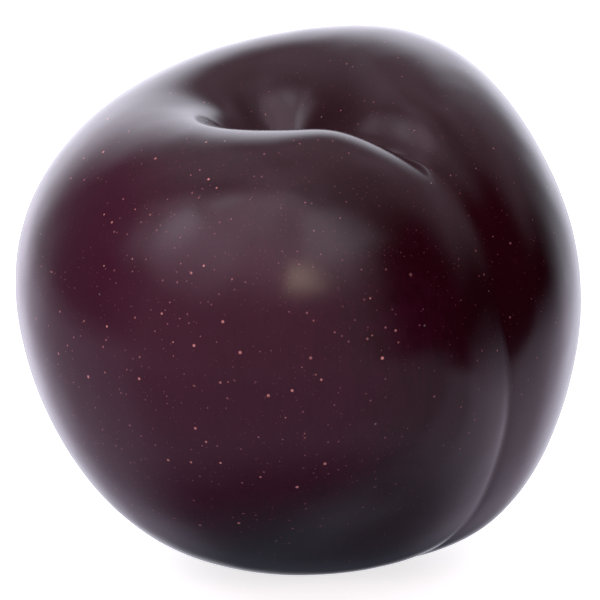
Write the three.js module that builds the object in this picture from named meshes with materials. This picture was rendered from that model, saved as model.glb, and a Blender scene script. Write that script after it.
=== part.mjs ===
// A whole black plum, picked and with its stalk gone: one closed solid.
// Millimetres, +Z up. The origin is on the surface that the fruit rests on, under the middle of its box.
//
// The flesh is a ball whose radius changes with direction. Directions are given in the fruit's own frame:
// +Z out of the stalk end, +X out through the seam, +Y out through the lobe on the seam's far side.
import * as THREE from "three";
import { mergeVertices } from "three/addons/utils/BufferGeometryUtils.js";

// The ball that the flesh grows from, and its slow changes of radius, each in mm at its largest.
const BALL_RADIUS = 31.7;
const BODY = {
  stalkEnd: -1.15,
  bothEnds: -2.2,
  stalkEndPoint: -2.4,
  seamAndBack: 0.45,
  twist: 0.85,
  seamSide: -2.55,
};

// Swells (+) and hollows (-) of the flesh: where they are, how far they spread (degrees) and how high they are.
const SWELLS = [
  { name: "shoulder of the far lobe", azimuth: 91, latitude: 46.5, spread: 29, height: 4.65 },
  { name: "back shoulder", azimuth: 142, latitude: 48, spread: 30, height: 2.7 },
  { name: "keel below the seam", azimuth: 0, latitude: -46, spread: 28.5, height: 3.4 },
  { name: "hollow low at the back of the near lobe", azimuth: -146.5, latitude: -23.5, spread: 28, height: -1.6 },
  { name: "flat beside the blossom end", azimuth: -33, latitude: -45.5, spread: 30.5, height: -5 },
  { name: "near lobe's shoulder at the seam", azimuth: -62, latitude: 50, spread: 24, height: 1.3 },
  { name: "slope from that shoulder to the cavity", azimuth: -61.5, latitude: 55, spread: 24, height: -1.15 },
  { name: "top of the near lobe", azimuth: -73, latitude: 62, spread: 16, height: 0.25 },
  { name: "wave in the cavity's lip", azimuth: -41, latitude: 70.5, spread: 9, height: 0.45 },
  { name: "hollow at the crease's closed end", azimuth: -134.5, latitude: 72.5, spread: 6, height: -1.05 },
];

// The cavity at the stalk end: a wide funnel, and in it a long pit, steeper towards the near lobe.
const FUNNEL = { depth: 6.2, radius: 11.4, steepness: 2.05, x: -6.8, y: 0.55 };
const PIT = { depth: 2.5, halfLength: 12.7, nearWidth: 6.45, farWidth: 6.35, turn: 14, x: -2.85, y: -1.35 };

// The crease that carries the seam through the cavity, steep under the near lobe's lip. It bends away
// from the seam's plane, opens into the seam's soft upper valley, and hooks back at its closed end.
const CREASE = {
  depth: 2.2,
  nearWidth: 2.05,
  farWidth: 4.8,
  closedEnd: -11.9,
  closedFade: 0.65,
  openEnd: 15.5,
  openFade: 3.6,
  bendStart: 22,
  slope: 0.055,
  bend: 0.0174,
  hookStart: -0.4,
  hook: 0.078,
};

// The sharp fold along the crease's bottom, where it leaves the cavity.
const CREASE_FOLD = { depth: 0.75, width: 1, floor: 0.1, start: 8, startFade: 2, end: 18.5, endFade: 1.2 };

// The dimple at the blossom end.
const BLOSSOM = { depth: 0.8, radius: 4 };

// The seam: a soft valley, deep above and shallow below, with a fine fold along the bottom of its lower
// part. The near lobe stands prouder by the step below, and the far one does above. The seam sways out of
// its plane, one way above the sway's middle and the other way below, and it bows to the near side.
const SEAM = {
  foldDepth: 0.22,
  foldWidth: 1.1,
  foldFloor: 0.15,
  foldStart: 20,
  foldStartOver: 2.5,
  valleyHigh: 1.5,
  valleyLow: 0.5,
  valleyWidth: 5,
  stepHigh: -0.35,
  stepLow: 0.4,
  stepWidth: 5.2,
  stepReach: 14,
  changeLatitude: 4,
  changeOver: 6.2,
  fadeStart: 0.5,
  fadeLength: 2.5,
  sway: -0.75,
  swayLatitude: 2,
  swayOver: 23.5,
  bow: -2.15,
  bowLatitude: -16.5,
  bowOver: 29.5,
};

// How the fruit lies: its lean towards the front and to the right, and the compass angle of the seam.
const LEAN_FRONT = 6.6;
const LEAN_RIGHT = 1.7;
const SEAM_AZIMUTH = -37;

// The small flat that the fruit rests on: how much of the ball is pressed in, and its soft edge.
const REST_PRESS = 0.5;
const REST_EDGE = 0.25;

// The surface grid: meridians crowd towards the seam, and parallels towards the stalk end.
const MERIDIANS = 94;
const PARALLELS = 66;
const SEAM_CROWDING = 0.72;
const STALK_CROWDING = 0.52;

const SKIN = new THREE.MeshStandardMaterial({ color: 0x2e1520, roughness: 0.22, metalness: 0 });

const radians = THREE.MathUtils.degToRad;

function direction(azimuth, latitude) {
  const flat = Math.cos(radians(latitude));
  return new THREE.Vector3(
    flat * Math.cos(radians(azimuth)),
    flat * Math.sin(radians(azimuth)),
    Math.sin(radians(latitude)),
  );
}

function bell(value, width) {
  return Math.exp(-((value / width) ** 2));
}

function rise(value, width) {
  return 1 / (1 + Math.exp(-value / width));
}

function bodyRadius({ x, y, z }) {
  return BALL_RADIUS
    + BODY.stalkEnd * z
    + BODY.bothEnds * z * z
    + BODY.stalkEndPoint * z ** 3
    + BODY.seamAndBack * x * x
    + BODY.twist * x * y
    + BODY.seamSide * x ** 3;
}

function swellHeight(dir) {
  let height = 0;
  for (const swell of SWELLS) {
    const nearness = dir.dot(direction(swell.azimuth, swell.latitude)) - 1;
    height += swell.height * Math.exp(nearness / (1 - Math.cos(radians(swell.spread))));
  }
  return height;
}

// Distances along the skin from the stalk end, as a map seen from above that end.
function skinMap(dir) {
  const distance = Math.acos(THREE.MathUtils.clamp(dir.z, -1, 1)) * BALL_RADIUS;
  const bearing = Math.atan2(dir.y, dir.x);
  return new THREE.Vector2(distance * Math.cos(bearing), distance * Math.sin(bearing));
}

function funnelDepth(place) {
  const distance = Math.hypot(place.x - FUNNEL.x, place.y - FUNNEL.y);
  return FUNNEL.depth * Math.exp(-((distance / FUNNEL.radius) ** FUNNEL.steepness));
}

function pitDepth(place) {
  const inPit = place.clone().sub(new THREE.Vector2(PIT.x, PIT.y));
  inPit.rotateAround(new THREE.Vector2(0, 0), -radians(PIT.turn));
  const width = inPit.y < 0 ? PIT.nearWidth : PIT.farWidth;
  return PIT.depth * bell(Math.hypot(inPit.x / PIT.halfLength, inPit.y / width), 1);
}

// A sharp-bottomed fold: its depth at a distance to one side of its bottom.
function foldDepth(aside, depth, width, floor) {
  const fromFloor = Math.hypot(aside, floor) - floor;
  return depth * Math.exp(-fromFloor / width);
}

// How far a place on the map is to the far side of the crease's bottom.
function asideOfCrease(place) {
  const run = CREASE.bendStart - place.x;
  const hooked = Math.max(0, CREASE.hookStart - place.x);
  const bottom = CREASE.slope * run - CREASE.bend * run * Math.abs(run) + CREASE.hook * hooked ** 2;
  return place.y - bottom;
}

function creaseDepth(place) {
  const aside = asideOfCrease(place);
  const width = aside < 0 ? CREASE.nearWidth : CREASE.farWidth;
  const closed = rise(place.x - CREASE.closedEnd, CREASE.closedFade);
  const open = rise(CREASE.openEnd - place.x, CREASE.openFade);
  return CREASE.depth * bell(aside, width) * closed * open;
}

function creaseFoldDepth(place) {
  const begun = rise(place.x - CREASE_FOLD.start, CREASE_FOLD.startFade);
  const ended = rise(CREASE_FOLD.end - place.x, CREASE_FOLD.endFade);
  const { depth, width, floor } = CREASE_FOLD;
  return foldDepth(asideOfCrease(place), depth, width, floor) * begun * ended;
}

function cavityDepth(dir) {
  const place = skinMap(dir);
  return funnelDepth(place) + pitDepth(place) + creaseDepth(place) + creaseFoldDepth(place);
}

function blossomDepth(dir) {
  const distance = Math.acos(THREE.MathUtils.clamp(-dir.z, -1, 1)) * BALL_RADIUS;
  return BLOSSOM.depth * bell(distance, BLOSSOM.radius);
}

// How far the seam's bottom lies out of the seam's plane.
function seamOffset(latitude) {
  const reach = (latitude - SEAM.swayLatitude) / SEAM.swayOver;
  const peak = Math.SQRT1_2 * Math.exp(-0.5);
  const sway = (SEAM.sway * reach * bell(reach, 1)) / peak;
  return sway + SEAM.bow * bell(latitude - SEAM.bowLatitude, SEAM.bowOver);
}

function seamDepth({ x, y, z }) {
  const latitude = THREE.MathUtils.radToDeg(Math.atan2(z, x));
  const aside = y * BALL_RADIUS - seamOffset(latitude);
  const folded = rise(SEAM.foldStart - latitude, SEAM.foldStartOver);
  const fold = foldDepth(aside, SEAM.foldDepth, SEAM.foldWidth, SEAM.foldFloor) * folded;
  const low = rise(SEAM.changeLatitude - latitude, SEAM.changeOver);
  const valley = THREE.MathUtils.lerp(SEAM.valleyHigh, SEAM.valleyLow, low) * bell(aside, SEAM.valleyWidth);
  const stepHeight = THREE.MathUtils.lerp(SEAM.stepHigh, SEAM.stepLow, low);
  const step = stepHeight * Math.tanh(aside / SEAM.stepWidth) * bell(aside, SEAM.stepReach);
  return (fold + valley + step) * rise(x * BALL_RADIUS - SEAM.fadeStart, SEAM.fadeLength);
}

function skinRadius(dir) {
  return bodyRadius(dir) + swellHeight(dir) - cavityDepth(dir) - blossomDepth(dir) - seamDepth(dir);
}

// A unit ball with its poles at the stalk and blossom ends and its grid drawn to the seam and the stalk end.
function directionGrid() {
  const ball = new THREE.SphereGeometry(1, MERIDIANS, PARALLELS);
  ball.deleteAttribute("normal");
  ball.deleteAttribute("uv");
  ball.rotateX(Math.PI / 2);
  const grid = mergeVertices(ball);
  const place = grid.getAttribute("position");
  for (let i = 0; i < place.count; i += 1) {
    const bearing = Math.atan2(place.getY(i), place.getX(i));
    const fromStalk = Math.acos(THREE.MathUtils.clamp(place.getZ(i), -1, 1));
    const drawnBearing = bearing - SEAM_CROWDING * Math.sin(bearing);
    const drawnFromStalk = fromStalk - STALK_CROWDING * Math.sin(fromStalk);
    const ring = Math.sin(drawnFromStalk);
    place.setXYZ(i, ring * Math.cos(drawnBearing), ring * Math.sin(drawnBearing), Math.cos(drawnFromStalk));
  }
  return grid;
}

function swellFlesh(geometry) {
  const place = geometry.getAttribute("position");
  const dir = new THREE.Vector3();
  for (let i = 0; i < place.count; i += 1) {
    dir.fromBufferAttribute(place, i).normalize();
    dir.multiplyScalar(skinRadius(dir));
    place.setXYZ(i, dir.x, dir.y, dir.z);
  }
}

function layDown(geometry) {
  geometry.rotateZ(radians(SEAM_AZIMUTH));
  geometry.rotateY(radians(LEAN_RIGHT));
  geometry.rotateX(radians(LEAN_FRONT));
}

// Presses the lowest flesh flat, with a soft edge, and puts the flat at Z = 0.
function pressFlat(geometry) {
  geometry.computeBoundingBox();
  const { min, max } = geometry.boundingBox;
  geometry.translate(-(min.x + max.x) / 2, -(min.y + max.y) / 2, -min.z - REST_PRESS);
  const place = geometry.getAttribute("position");
  for (let i = 0; i < place.count; i += 1) {
    const height = place.getZ(i);
    if (height <= 0) {
      place.setZ(i, 0);
    } else if (height < 2 * REST_EDGE) {
      place.setZ(i, height ** 2 / (4 * REST_EDGE));
    } else {
      place.setZ(i, height - REST_EDGE);
    }
  }
}

function plumGeometry() {
  const geometry = directionGrid();
  swellFlesh(geometry);
  layDown(geometry);
  pressFlat(geometry);
  geometry.computeVertexNormals();
  return geometry;
}

const plum = new THREE.Mesh(plumGeometry(), SKIN);
plum.name = "plum";

const part = new THREE.Group();
part.add(plum);

export default part;
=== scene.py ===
"""A whole black plum on a pale floor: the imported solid's skin, smoothed, marked and finished.

The skin piece stands for the solid. Lengths are in metres, or in MM, and angles are in degrees.
"""

import logging
import math
from dataclasses import dataclass

import bpy
from bpy.types import Material, Node, NodeSocket, NodeTree, Object
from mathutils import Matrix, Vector


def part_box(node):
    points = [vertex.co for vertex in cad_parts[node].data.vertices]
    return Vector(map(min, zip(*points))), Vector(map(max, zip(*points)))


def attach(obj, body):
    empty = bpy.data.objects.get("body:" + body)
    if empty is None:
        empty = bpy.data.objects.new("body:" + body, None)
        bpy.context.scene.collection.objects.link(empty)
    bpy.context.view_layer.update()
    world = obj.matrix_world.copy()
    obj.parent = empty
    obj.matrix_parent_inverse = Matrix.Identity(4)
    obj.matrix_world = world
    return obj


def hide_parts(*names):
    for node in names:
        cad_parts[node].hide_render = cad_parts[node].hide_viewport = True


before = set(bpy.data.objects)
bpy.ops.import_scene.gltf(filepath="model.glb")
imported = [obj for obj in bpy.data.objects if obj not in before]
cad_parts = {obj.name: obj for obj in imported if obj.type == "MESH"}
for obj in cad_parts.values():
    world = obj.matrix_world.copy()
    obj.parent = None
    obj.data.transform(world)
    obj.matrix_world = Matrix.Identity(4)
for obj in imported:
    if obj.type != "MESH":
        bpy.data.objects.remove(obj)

LOG = logging.getLogger("plum")

BODY = "root"
SOLID = "plum"
MM = 0.001
HALF_TURN = 180.0
NOISE_MEAN = 0.5

Value = NodeSocket | float
Colour = tuple[float, float, float]
Direction = tuple[float, float, float]


class Graph:
    """A node tree with short ways to add nodes and join them."""

    def __init__(self, tree: NodeTree) -> None:
        """Empties the tree.

        Args:
            tree: the material's or the world's own node tree.
        """
        self.tree = tree
        tree.nodes.clear()

    def node(self, kind: str, **settings: object) -> Node:
        """Adds a node.

        Args:
            kind: the node's type name.
            settings: properties to set on it.

        Returns:
            The new node.
        """
        added = self.tree.nodes.new(kind)
        for name, value in settings.items():
            setattr(added, name, value)
        return added

    def feed(self, socket: NodeSocket, value: Value | Colour | Direction) -> None:
        """Links a socket to another, or sets its own value.

        Args:
            socket: the input to fill.
            value: an output socket, a number, a colour or a direction.
        """
        if isinstance(value, NodeSocket):
            self.tree.links.new(value, socket)
        elif isinstance(value, tuple) and len(socket.default_value) > len(value):
            socket.default_value = (*value, 1.0)
        else:
            socket.default_value = value

    def math(self, operation: str, *values: Value) -> NodeSocket:
        """Adds a Math node.

        Args:
            operation: the node's operation.
            values: its inputs in order.

        Returns:
            Its result.
        """
        step = self.node("ShaderNodeMath", operation=operation)
        for socket, value in zip(step.inputs, values):
            self.feed(socket, value)
        return step.outputs[0]

    def ease(self, value: Value, start: float, end: float) -> NodeSocket:
        """Eases from 0 to 1 as a value goes from start to end.

        Args:
            value: what is read.
            start: where the change begins.
            end: where it is complete, which may be below start.

        Returns:
            The eased number.
        """
        low, high = 0.0, 1.0
        if end < start:
            start, end, low, high = end, start, high, low
        step = self.node("ShaderNodeMapRange", interpolation_type="SMOOTHSTEP")
        inputs = {"Value": value, "From Min": start, "From Max": end, "To Min": low, "To Max": high}
        for name, number in inputs.items():
            self.feed(step.inputs[name], number)
        return step.outputs[0]

    def blend(self, share: Value, first: Value | Colour, second: Value | Colour) -> NodeSocket:
        """Mixes two colours.

        Args:
            share: how much of the second shows.
            first: the colour at 0.
            second: the colour at 1.

        Returns:
            The mixed colour.
        """
        step = self.node("ShaderNodeMix", data_type="RGBA")
        factor, first_input, second_input = (s for s in step.inputs if s.enabled)
        self.feed(factor, share)
        self.feed(first_input, first)
        self.feed(second_input, second)
        return next(s for s in step.outputs if s.enabled)

    def noise(self, place: NodeSocket, size: float, detail: float = 3.0, rough: float = 0.5) -> NodeSocket:
        """Adds soft cloudy noise.

        Args:
            place: the coordinates it is read at.
            size: how wide its patches are.
            detail: how many finer layers it has.
            rough: how strong the finer layers are.

        Returns:
            The noise, mostly between 0.3 and 0.7, with NOISE_MEAN in the middle.
        """
        step = self.node("ShaderNodeTexNoise")
        self.feed(step.inputs["Vector"], place)
        for name, number in (("Scale", 1 / size), ("Detail", detail), ("Roughness", rough)):
            self.feed(step.inputs[name], number)
        return step.outputs[0]

    def swing(self, noise: NodeSocket, strength: float) -> NodeSocket:
        """Makes noise swing about 0.

        Args:
            noise: soft cloudy noise.
            strength: how much it is stretched.

        Returns:
            The stretched noise.
        """
        return self.math("MULTIPLY_ADD", noise, strength, -NOISE_MEAN * strength)


@dataclass(frozen=True)
class Dots:
    """One family of the pale pores that dot the skin.

    Only the points of a cloud that lie near the surface show, so they come in all sizes up to the radius.
    A family's share is how many of its points are dots, its fondness is how much they keep to the favoured
    skin, its patch is how wide the places are where they crowd, and its seed sets it apart from the others.
    """

    name: str
    spacing: float
    radius: float
    colour: Colour
    strength: float
    share: float
    fondness: float
    patch: float
    seed: float
    smallest: float = 0.5
    faintest: float = 0.25
    core: float = 0.4
    crowding: float = 2.0
    choice_edge: float = 0.02

    def mask(self, graph: Graph, place: NodeSocket, favour: NodeSocket) -> NodeSocket:
        """Marks the dots.

        Args:
            graph: the skin's node tree.
            place: object coordinates.
            favour: how far this part of the skin is favoured by dots, from 0 to 1.

        Returns:
            0 on plain skin and up to the strength in a dot's middle.
        """
        shift = graph.node("ShaderNodeVectorMath", operation="ADD")
        graph.feed(shift.inputs[0], place)
        graph.feed(shift.inputs[1], (self.seed, self.seed, self.seed))
        moved = shift.outputs[0]
        cells = graph.node("ShaderNodeTexVoronoi", voronoi_dimensions="3D")
        graph.feed(cells.inputs["Vector"], moved)
        graph.feed(cells.inputs["Scale"], 1 / self.spacing)
        pick = graph.node("ShaderNodeSeparateColor")
        graph.feed(pick.inputs[0], cells.outputs["Color"])
        size = graph.math("MULTIPLY_ADD", pick.outputs[0], 1 - self.smallest, self.smallest)
        apart = graph.math("MULTIPLY", cells.outputs["Distance"], self.spacing / self.radius)
        inside = graph.ease(graph.math("DIVIDE", apart, size), 1.0, self.core)
        crowd = graph.noise(moved, self.patch, detail=2.0)
        crowd = graph.math("MULTIPLY_ADD", crowd, self.crowding, NOISE_MEAN * (1 - self.crowding))
        welcome = graph.math("MULTIPLY_ADD", favour, self.fondness, 1 - self.fondness)
        wanted = graph.math("MULTIPLY", graph.math("MULTIPLY", crowd, welcome), self.share / NOISE_MEAN)
        lead = graph.math("SUBTRACT", wanted, pick.outputs[1])
        chosen = graph.ease(lead, -self.choice_edge, self.choice_edge)
        bright = graph.math("MULTIPLY", graph.math("MULTIPLY", inside, chosen), self.strength)
        glow = graph.math("MULTIPLY_ADD", pick.outputs[2], 1 - self.faintest, self.faintest)
        return graph.math("MULTIPLY", bright, glow)


@dataclass(frozen=True)
class Scar:
    """The corky mark that the stalk or the flower leaves at one end."""

    name: str
    axis: Direction
    search: float
    width: float
    lift: float
    colour: Colour
    raggedness: float = 1 / 3
    notch: float = 1 / 4
    outer_edge: float = 0.55
    inner_edge: float = 0.42
    crack_shade: float = 1 / 4
    crack_width: float = 1 / 8
    crack_edge: tuple[float, float] = (0.35, 0.6)

    def find(self, skin: Object, middle: Vector) -> Vector:
        """Finds the bottom of the dimple that the scar sits in.

        Args:
            skin: the smoothed skin.
            middle: the fruit's middle.

        Returns:
            The skin's nearest point to the middle, close to the scar's end of the fruit.
        """
        axis = Vector(self.axis).normalized()
        reach = math.cos(math.radians(self.search))
        arms = (vertex.co - middle for vertex in skin.data.vertices)
        near = (arm for arm in arms if arm.normalized().dot(axis) > reach)
        return middle + min(near, key=lambda arm: arm.length)

    def raise_up(self, skin: Object, spot: Vector) -> None:
        """Lifts the scar a little above the skin around it.

        Args:
            skin: the smoothed skin.
            spot: the scar's middle.
        """
        select_only(skin)
        bpy.ops.object.mode_set(mode="EDIT")
        bpy.ops.mesh.select_mode(type="VERT")
        bpy.ops.mesh.select_all(action="DESELECT")
        bpy.ops.object.mode_set(mode="OBJECT")
        for vertex in skin.data.vertices:
            vertex.select = (vertex.co - spot).length < self.width / 2
        bpy.ops.object.mode_set(mode="EDIT")
        bpy.ops.transform.shrink_fatten(value=self.lift)
        bpy.ops.object.mode_set(mode="OBJECT")

    def mask(self, graph: Graph, place: NodeSocket, spot: Vector) -> NodeSocket:
        """Marks the scar.

        Args:
            graph: the skin's node tree.
            place: object coordinates.
            spot: the scar's middle.

        Returns:
            1 on the scar and 0 off it, with a ragged edge.
        """
        away = graph.node("ShaderNodeVectorMath", operation="DISTANCE")
        graph.feed(away.inputs[0], place)
        graph.feed(away.inputs[1], tuple(spot))
        ragged = graph.swing(graph.noise(place, self.width * self.notch), self.width * self.raggedness)
        reach = graph.math("ADD", away.outputs["Value"], ragged)
        return graph.ease(reach, self.width * self.outer_edge, self.width * self.inner_edge)

    def cork(self, graph: Graph, place: NodeSocket) -> NodeSocket:
        """Colours the scar like dry cork, darker in its cracks.

        Args:
            graph: the skin's node tree.
            place: object coordinates.

        Returns:
            Its colour.
        """
        dark = tuple(channel * self.crack_shade for channel in self.colour)
        cracks = graph.noise(place, self.width * self.crack_width, detail=4.0, rough=0.7)
        return graph.blend(graph.ease(cracks, *self.crack_edge), dark, self.colour)


@dataclass(frozen=True)
class SkinFinish:
    """Glossy dark purple skin: two pigments, faint fibres, pale dots, corky scars and a thin dull wax.

    The blush points to where the sun came from. The skin turns from the deep to the ruby pigment along it,
    from its start to its end, and the belt keeps the ruby to the fruit's waist.
    """

    deep: Colour = (0.0185, 0.0009, 0.0040)
    ruby: Colour = (0.0465, 0.0043, 0.0176)
    blush: Direction = (-0.87, -0.49, 0.02)
    blush_start: float = -11 * MM
    blush_end: float = 24 * MM
    blush_belt: float = 0.029 / MM
    patch: float = 14 * MM
    mottle: float = 2.4 * MM
    fibre: float = 0.5 * MM
    fibre_length: float = 8.0
    patch_strength: float = 0.9
    mottle_strength: float = 0.5
    fibre_strength: float = 0.5
    pigment_edge: float = 0.1
    roughness: float = 0.17
    wax: float = 0.08
    index: float = 1.40
    cork_roughness: float = 0.8
    grain: float = 0.6 * MM
    grain_height: float = 0.002 * MM

    def material(self, middle: Vector, dots: tuple[Dots, ...], scars: dict[Scar, Vector]) -> Material:
        """Builds the skin.

        Args:
            middle: the fruit's middle.
            dots: the families of dots, drawn in order.
            scars: the scars and where each one is.

        Returns:
            The finished material.
        """
        made = bpy.data.materials.new("plum_skin")
        made.use_nodes = True
        graph = Graph(made.node_tree)
        place = graph.node("ShaderNodeTexCoord").outputs["Object"]
        mottling = graph.noise(place, self.mottle, detail=4.0, rough=0.6)
        blush = self.blush_share(graph, place, middle)
        colour = graph.blend(self.ruby_share(graph, place, blush, mottling), self.deep, self.ruby)
        for family in dots:
            colour = graph.blend(family.mask(graph, place, blush), colour, family.colour)
        dull = graph.math("ADD", graph.swing(mottling, self.wax), self.roughness)
        for scar, spot in scars.items():
            mask = scar.mask(graph, place, spot)
            colour = graph.blend(mask, colour, scar.cork(graph, place))
            duller = graph.math("MULTIPLY", mask, self.cork_roughness - self.roughness)
            dull = graph.math("ADD", dull, duller)
        shader = graph.node("ShaderNodeBsdfPrincipled")
        bump = graph.node("ShaderNodeBump")
        graph.feed(bump.inputs["Height"], graph.noise(place, self.grain))
        graph.feed(bump.inputs["Distance"], self.grain_height)
        finish = {"Base Color": colour, "IOR": self.index, "Roughness": dull, "Normal": bump.outputs[0]}
        for name, value in finish.items():
            graph.feed(shader.inputs[name], value)
        output = graph.node("ShaderNodeOutputMaterial")
        graph.feed(output.inputs["Surface"], shader.outputs[0])
        return made

    def blush_share(self, graph: Graph, place: NodeSocket, middle: Vector) -> NodeSocket:
        """Grades the skin from its shaded side and its two ends to the side that the sun reddened.

        Args:
            graph: the skin's node tree.
            place: object coordinates.
            middle: the fruit's middle.

        Returns:
            0 on the shaded side and 1 on the sunny side's waist.
        """
        arm = graph.node("ShaderNodeVectorMath", operation="SUBTRACT")
        graph.feed(arm.inputs[0], place)
        graph.feed(arm.inputs[1], tuple(middle))
        along = graph.node("ShaderNodeVectorMath", operation="DOT_PRODUCT")
        graph.feed(along.inputs[0], arm.outputs[0])
        graph.feed(along.inputs[1], self.blush)
        height = graph.node("ShaderNodeSeparateXYZ")
        graph.feed(height.inputs[0], arm.outputs[0])
        ends = graph.math("MULTIPLY", graph.math("POWER", height.outputs[2], 2.0), self.blush_belt)
        belt = graph.math("SUBTRACT", along.outputs["Value"], ends)
        return graph.ease(belt, self.blush_start, self.blush_end)

    def ruby_share(
        self, graph: Graph, place: NodeSocket, blush: NodeSocket, mottling: NodeSocket
    ) -> NodeSocket:
        """Works out how much of the redder pigment shows.

        Args:
            graph: the skin's node tree.
            place: object coordinates.
            blush: the grade from the shaded to the sunny side.
            mottling: fine cloudy noise.

        Returns:
            The redder pigment's share, from 0 to 1.
        """
        stretch = graph.node("ShaderNodeVectorMath", operation="MULTIPLY")
        graph.feed(stretch.inputs[0], place)
        graph.feed(stretch.inputs[1], (1.0, 1.0, 1 / self.fibre_length))
        fibres = graph.noise(stretch.outputs[0], self.fibre, detail=2.0)
        patches = graph.noise(place, self.patch, detail=2.0)
        noises = (patches, mottling, fibres)
        strengths = (self.patch_strength, self.mottle_strength, self.fibre_strength)
        share = blush
        for noise, strength in zip(noises, strengths):
            share = graph.math("ADD", share, graph.swing(noise, strength))
        return graph.ease(share, -self.pigment_edge, 1 + self.pigment_edge)


@dataclass(frozen=True)
class FloorFinish:
    """A pale matt sheet lit from below as well, so that it stays nearly white."""

    colour: Colour = (0.9, 0.9, 0.9)
    glow_colour: Colour = (1.0, 1.0, 1.0)
    glow: float = 0.75
    roughness: float = 0.9

    def material(self) -> Material:
        """Builds the sheet's material."""
        made = bpy.data.materials.new("pale_floor")
        made.use_nodes = True
        shader = made.node_tree.nodes["Principled BSDF"]
        shader.inputs["Base Color"].default_value = (*self.colour, 1.0)
        shader.inputs["Roughness"].default_value = self.roughness
        shader.inputs["Emission Color"].default_value = (*self.glow_colour, 1.0)
        shader.inputs["Emission Strength"].default_value = self.glow
        return made


def select_only(piece: Object) -> None:
    """Deselects everything, then selects one piece and makes it active.

    Args:
        piece: the object to work on.
    """
    bpy.ops.object.select_all(action="DESELECT")
    piece.select_set(True)
    bpy.context.view_layer.objects.active = piece


@dataclass
class PlumSkin:
    """The fruit's whole outside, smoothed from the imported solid."""

    weld: float = 0.001 * MM
    smoothing: int = 2
    quad_limit: float = math.pi
    ripple: float = 7 * MM
    ripple_height: float = 0.10 * MM

    def build(self, finish: SkinFinish, dots: tuple[Dots, ...], scars: tuple[Scar, ...]) -> Object:
        """Makes the skin and puts it in the solid's place.

        Args:
            finish: how the skin looks.
            dots: the dots on it.
            scars: the marks at its two ends.

        Returns:
            The finished piece.
        """
        low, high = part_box(SOLID)
        middle = (low + high) / 2
        skin = self.copy_solid()
        self.square_up(skin)
        self.smooth(skin)
        self.ripple_up(skin)
        spots = {scar: scar.find(skin, middle) for scar in scars}
        for scar, spot in spots.items():
            scar.raise_up(skin, spot)
            LOG.info("%s scar at %s mm", scar.name, [round(place / MM, 1) for place in spot])
        skin.data.materials.clear()
        skin.data.materials.append(finish.material(middle, dots, spots))
        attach(skin, BODY)
        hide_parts(SOLID)
        return skin

    def copy_solid(self) -> Object:
        """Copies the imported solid, which itself stays as it is.

        Returns:
            A copy with its own mesh and no parent.
        """
        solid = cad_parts[SOLID]
        skin = bpy.data.objects.new("plum_skin", solid.data.copy())
        bpy.context.scene.collection.objects.link(skin)
        return skin

    def square_up(self, skin: Object) -> None:
        """Joins the loose triangles and pairs them into squares.

        Args:
            skin: the copied solid.
        """
        select_only(skin)
        bpy.ops.mesh.customdata_custom_splitnormals_clear()
        bpy.ops.object.mode_set(mode="EDIT")
        bpy.ops.mesh.select_all(action="SELECT")
        bpy.ops.mesh.remove_doubles(threshold=self.weld)
        bpy.ops.mesh.tris_convert_to_quads(face_threshold=self.quad_limit, shape_threshold=self.quad_limit)
        bpy.ops.object.mode_set(mode="OBJECT")

    def smooth(self, skin: Object) -> None:
        """Rounds the faces off into skin without edges.

        Args:
            skin: the squared copy.
        """
        select_only(skin)
        rounding = skin.modifiers.new("rounding", "SUBSURF")
        rounding.levels = self.smoothing
        rounding.render_levels = self.smoothing
        bpy.ops.object.modifier_apply(modifier=rounding.name)
        bpy.ops.object.shade_smooth()

    def ripple_up(self, skin: Object) -> None:
        """Makes the skin very slightly uneven, so that reflections waver.

        Args:
            skin: the smoothed skin.
        """
        clouds = bpy.data.textures.new("ripples", "CLOUDS")
        clouds.noise_scale = self.ripple
        clouds.noise_depth = 1
        ripples = skin.modifiers.new("ripples", "DISPLACE")
        ripples.texture = clouds
        ripples.texture_coords = "LOCAL"
        ripples.strength = self.ripple_height
        bpy.ops.object.modifier_apply(modifier=ripples.name)


@dataclass(frozen=True)
class Panel:
    """A soft-edged patch of light at a compass angle and a height, as seen from the fruit.

    Compass angles are 0 towards the camera, positive to the right and 180 behind. Heights are 0 level with
    the fruit and 90 overhead. The edges say how wide the soft edges are: left and right, then low and high.
    """

    name: str
    middle: float
    half_width: float
    side_edges: tuple[float, float]
    low: float
    high: float
    level_edges: tuple[float, float]
    light: float
    tint: Colour

    def shine(self, graph: Graph, bearing: NodeSocket, height: NodeSocket) -> list[NodeSocket]:
        """Adds the patch to the world.

        Args:
            graph: the world's node tree.
            bearing: the compass angle looked along.
            height: the angle looked along above the floor.

        Returns:
            Its light in red, green and blue.
        """
        aside = graph.math("WRAP", graph.math("SUBTRACT", bearing, self.middle), HALF_TURN, -HALF_TURN)
        light = self.between(graph, height, self.low, self.high, self.level_edges)
        if self.half_width < HALF_TURN:
            across = self.between(graph, aside, -self.half_width, self.half_width, self.side_edges)
            light = graph.math("MULTIPLY", light, across)
        return [graph.math("MULTIPLY", light, self.light * channel) for channel in self.tint]

    @staticmethod
    def between(
        graph: Graph, angle: NodeSocket, low: float, high: float, edges: tuple[float, float]
    ) -> NodeSocket:
        """Marks the angles between two limits, with soft edges.

        Args:
            graph: the world's node tree.
            angle: the angle looked along.
            low: the lower limit.
            high: the upper limit.
            edges: how wide the lower and the upper edge are.

        Returns:
            1 inside the limits and 0 outside.
        """
        enter = graph.ease(angle, low - edges[0] / 2, low + edges[0] / 2)
        leave = graph.ease(angle, high + edges[1] / 2, high - edges[1] / 2)
        return graph.math("MULTIPLY", enter, leave)


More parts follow.
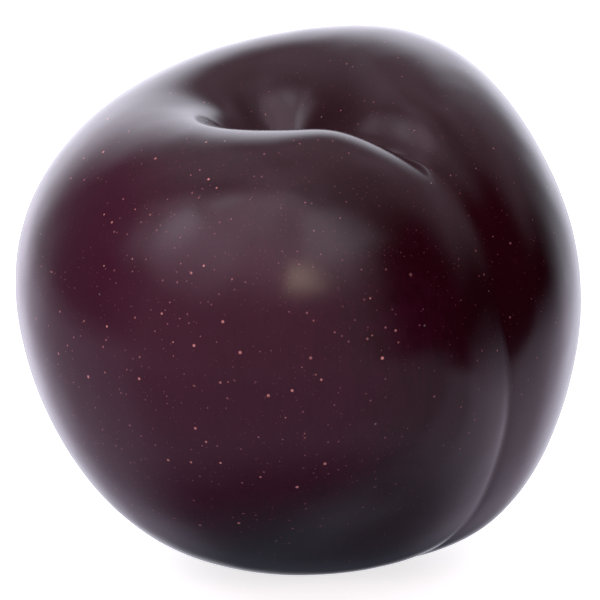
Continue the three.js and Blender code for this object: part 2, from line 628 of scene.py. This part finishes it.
# Tints of the light: from the cool backdrop, the lilac ceiling and the warm window, off the pale sheet that
# the fruit stands on, and from the shade under it.
COOL: Colour = (1.0, 1.0, 1.14)
LILAC: Colour = (1.24, 1.0, 1.18)
WARM: Colour = (1.24, 1.0, 0.72)
SHEET: Colour = (1.18, 1.0, 1.28)
SHADE: Colour = (0.95, 1.0, 1.35)

# The light all around: each patch's middle, half width and side edges, its height from and to, the edges of
# these, its strength and its tint.
PANELS = (
    Panel("backdrop", 182, 31, (21, 37), 3, 39, (41, 24), 2.44, COOL),
    Panel("backdrop foot", 181, 45, (42, 50), -33, 7, (24, 30), 1.14, COOL),
    Panel("left wall", -120, 41, (6, 13), -5, 90, (3, 6), 0.17, COOL),
    Panel("front fill", -17, 60, (29, 26), -9, 90, (11, 4), 0.46, LILAC),
    Panel("key", -25, 71, (26, 32), 36, 90, (34, 6), 0.98, LILAC),
    Panel("key core", -53, 19, (20, 21), 24, 58, (14, 13), 0.43, COOL),
    Panel("key left", -79, 10, (11, 18), 36, 55, (28, 6), 1.92, COOL),
    Panel("key edge", -96, 9, (8, 8), 44, 58, (8, 8), 0.5, LILAC),
    Panel("key right", 38, 26, (15, 17), 47, 74, (15, 13), 0.85, COOL),
    Panel("key top", -41, 26, (15, 15), 60, 83, (10, 7), 0.45, LILAC),
    Panel("lamp", -79, 8, (8, 4), 61, 75, (7, 9), 1.3, COOL),
    Panel("window", 7, 9, (7, 18), 32, 45, (8, 12), 3.1, WARM),
    Panel("zenith", 0, 180, (0, 0), 76, 95, (8, 2), 0.22, LILAC),
    Panel("overhead", -166, 61, (34, 54), 47, 90, (29, 6), 0.65, LILAC),
    Panel("overhead right", 86, 44, (29, 28), 58, 90, (39, 6), 0.52, COOL),
    Panel("right fill", 123, 24, (37, 9), 15, 58, (23, 22), 0.35, LILAC),
    Panel("floor front", 2, 68, (22, 20), -57, -8, (47, 10), 0.43, SHEET),
    Panel("floor right", 120, 32, (14, 42), -56, -13, (53, 24), 0.80, SHEET),
    Panel("floor corner", 80, 10, (10, 12), -56, -15, (53, 4), 0.56, SHEET),
    Panel("floor left", -114, 46, (34, 25), -52, -5, (39, 11), 0.65, SHEET),
    Panel("floor under", 0, 180, (0, 0), -90, -43, (1, 18), 0.11, SHADE),
)

# The families of dots: spacing, radius, colour, strength, share, fondness, patch and seed.
DOTS = (
    Dots("fine", 0.42 * MM, 0.11 * MM, (0.17, 0.055, 0.065), 0.7, 0.55, 0.3, 9 * MM, 0.31),
    Dots("plain", 0.76 * MM, 0.16 * MM, (0.42, 0.16, 0.17), 0.8, 0.5, 0.7, 12 * MM, 0.87),
    Dots("bright", 1.5 * MM, 0.24 * MM, (0.80, 0.34, 0.30), 1.0, 0.55, 1.0, 12 * MM, 0.42),
    Dots("pale", 1.3 * MM, 0.15 * MM, (0.45, 0.45, 0.42), 0.8, 0.1, 0.0, 20 * MM, 0.53),
)

# The fruit leans, so its two ends aren't straight above and below its middle.
STALK_END: Direction = (0.03, -0.115, 0.993)
BLOSSOM_END: Direction = (-0.03, 0.115, -0.993)

SCARS = (
    Scar("stalk", STALK_END, 25, 3.0 * MM, 0.12 * MM, (0.14, 0.09, 0.05)),
    Scar("blossom", BLOSSOM_END, 8, 1.4 * MM, 0.05 * MM, (0.14, 0.09, 0.05)),
)


@dataclass
class Studio:
    """The pale floor, the soft light all around and the camera."""

    floor_size: float = 6.0
    floor_drop: float = 0.10 * MM
    elevation: float = 18.0
    distance: float = 0.4
    lens: float = 212.25
    aim_right: float = 0.20 * MM
    aim_up: float = 1.47 * MM
    aim_back: float = -0.82 * MM

    def lay_floor(self) -> Object:
        """Lays the pale floor under the fruit.

        Returns:
            The floor, which isn't part of the object.
        """
        bpy.ops.object.select_all(action="DESELECT")
        bpy.ops.mesh.primitive_plane_add(size=self.floor_size, location=(0, 0, -self.floor_drop))
        floor = bpy.context.object
        floor.name = "floor"
        floor.data.materials.append(FloorFinish().material())
        floor.visible_glossy = False
        floor.visible_diffuse = False
        return floor

    def light_room(self, panels: tuple[Panel, ...]) -> None:
        """Lights the room with soft panels, and leaves it white where the camera sees it.

        Args:
            panels: the patches of light.
        """
        world = bpy.data.worlds.new("studio")
        bpy.context.scene.world = world
        world.use_nodes = True
        graph = Graph(world.node_tree)
        look = graph.node("ShaderNodeSeparateXYZ")
        graph.feed(look.inputs[0], graph.node("ShaderNodeTexCoord").outputs["Generated"])
        right, away, up = look.outputs
        to_degrees = math.degrees(1)
        height = graph.math("MULTIPLY", graph.math("ARCSINE", up), to_degrees)
        around = graph.math("ARCTAN2", right, graph.math("MULTIPLY", away, -1.0))
        bearing = graph.math("MULTIPLY", around, to_degrees)
        glows = [panel.shine(graph, bearing, height) for panel in panels]
        total = graph.node("ShaderNodeCombineColor")
        for channel, socket in enumerate(total.inputs):
            light = glows[0][channel]
            for glow in glows[1:]:
                light = graph.math("ADD", light, glow[channel])
            graph.feed(socket, light)
        soft = graph.node("ShaderNodeBackground")
        graph.feed(soft.inputs["Color"], total.outputs[0])
        white = graph.node("ShaderNodeBackground")
        graph.feed(white.inputs["Color"], (1.0, 1.0, 1.0))
        choice = graph.node("ShaderNodeMixShader")
        seen = graph.node("ShaderNodeLightPath").outputs["Is Camera Ray"]
        for socket, value in zip(choice.inputs, (seen, soft.outputs[0], white.outputs[0])):
            graph.feed(socket, value)
        output = graph.node("ShaderNodeOutputWorld")
        graph.feed(output.inputs["Surface"], choice.outputs[0])

    def place_camera(self) -> Object:
        """Puts the camera in front, a little above the fruit.

        Returns:
            The scene's camera.
        """
        low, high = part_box(SOLID)
        aim = (low + high) / 2 + Vector((self.aim_right, self.aim_back, self.aim_up))
        tilt = math.radians(self.elevation)
        lens = bpy.data.cameras.new("camera")
        lens.lens = self.lens
        camera = bpy.data.objects.new("camera", lens)
        bpy.context.scene.collection.objects.link(camera)
        camera.location = aim + Vector((0, -math.cos(tilt), math.sin(tilt))) * self.distance
        camera.rotation_euler = (math.pi / 2 - tilt, 0, 0)
        bpy.context.scene.camera = camera
        return camera

    def set_up(self) -> None:
        """Makes the camera, the floor and the light."""
        self.place_camera()
        LOG.info("camera placed")
        self.lay_floor()
        LOG.info("floor laid")
        self.light_room(PANELS)
        LOG.info("room lit by %d panels", len(PANELS))
        bpy.context.scene.view_settings.view_transform = "Standard"


def main() -> None:
    """Builds the plum and its studio."""
    logging.basicConfig(level=logging.INFO, format="%(name)s: %(message)s")
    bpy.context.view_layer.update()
    Studio().set_up()
    skin = PlumSkin().build(SkinFinish(), DOTS, SCARS)
    LOG.info("%s has %d faces", skin.name, len(skin.data.polygons))


if __name__ == "__main__":
    main()
